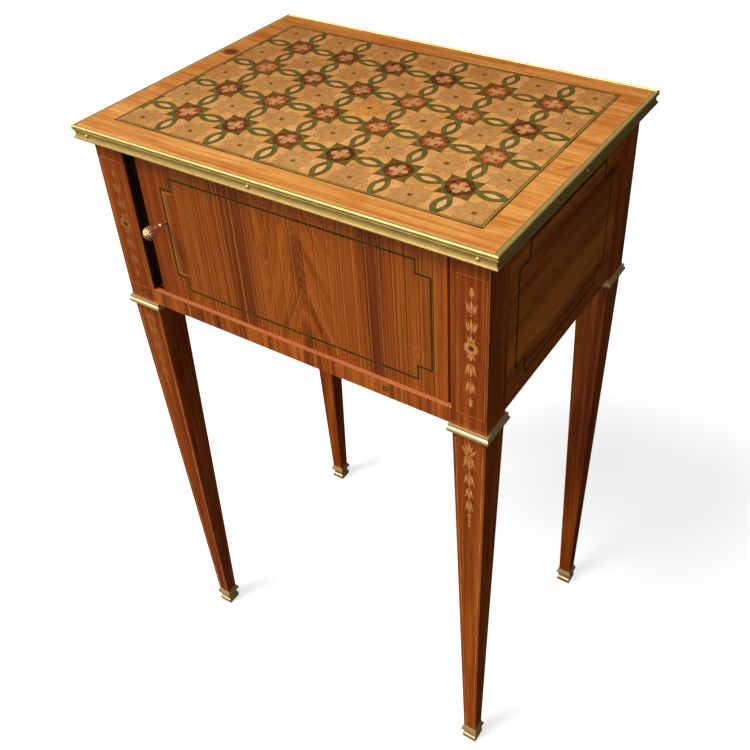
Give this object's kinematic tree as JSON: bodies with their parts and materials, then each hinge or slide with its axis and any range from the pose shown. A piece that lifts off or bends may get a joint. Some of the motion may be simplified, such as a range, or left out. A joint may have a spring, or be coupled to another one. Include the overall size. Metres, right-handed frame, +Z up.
{
  "type": "occasional table",
  "caption": "Small marquetry-topped occasional table on square tapered legs, with a compartment closed by a sliding tambour shutter that runs round a corner into the case.",
  "frame": {"origin": "on the floor, under the middle of the outline, knob included", "axes": "+Z up, +X to the right as seen from the front, front of the table at -Y"},
  "size_m": [0.4442, 0.3395, 0.72],
  "materials": {
    "marquetry": "polished",
    "border_veneer": "polished",
    "leg_veneer": "polished",
    "case_veneer": "polished",
    "shutter_veneer": "polished",
    "plug_wood": "polished",
    "carcase_wood": "plain",
    "brass": "old polish",
    "steel": "plain",
    "canvas": "glued"
  },
  "bodies": {
    "case": {"top_core": "carcase_wood", "top_border_veneer": "border_veneer", "top_marquetry_panel": "marquetry", "brass_band_front": "brass", "brass_band_back": "brass", "brass_band_left": "brass", "brass_band_right": "brass", "band_pins": "brass", "leg_front_left": "leg_veneer", "leg_front_right": "leg_veneer", "leg_back_left": "leg_veneer", "leg_back_right": "leg_veneer", "collar_front_left": "brass", "collar_front_right": "brass", "collar_back_left": "brass", "collar_back_right": "brass", "sabot_front_left": "brass", "sabot_front_right": "brass", "sabot_back_left": "brass", "sabot_back_right": "brass", "side_panel_left": "case_veneer", "side_panel_right": "case_veneer", "back_panel": "case_veneer", "front_bottom_rail": "case_veneer", "rail_plug": "plug_wood", "front_top_rail": "case_veneer", "floor_board": "carcase_wood", "upper_track_board": "carcase_wood", "floor_cleats": "carcase_wood", "lining_right": "carcase_wood", "lining_back": "carcase_wood", "shutter_stop": "carcase_wood", "top_screws": "steel"},
    "shutter": {"shutter_stile": "shutter_veneer", "shutter_slats": "shutter_veneer", "shutter_canvas": "canvas", "shutter_knob": "brass", "knob_screw": "steel"}
  },
  "joints": [
    {"name": "shutter_slide", "type": "slide", "parent": "case", "child": "shutter", "axis": [1, 0, 0], "range_m": [-0.016, 0.3017], "deforming": ["shutter_slats", "shutter_canvas"]}
  ]
}
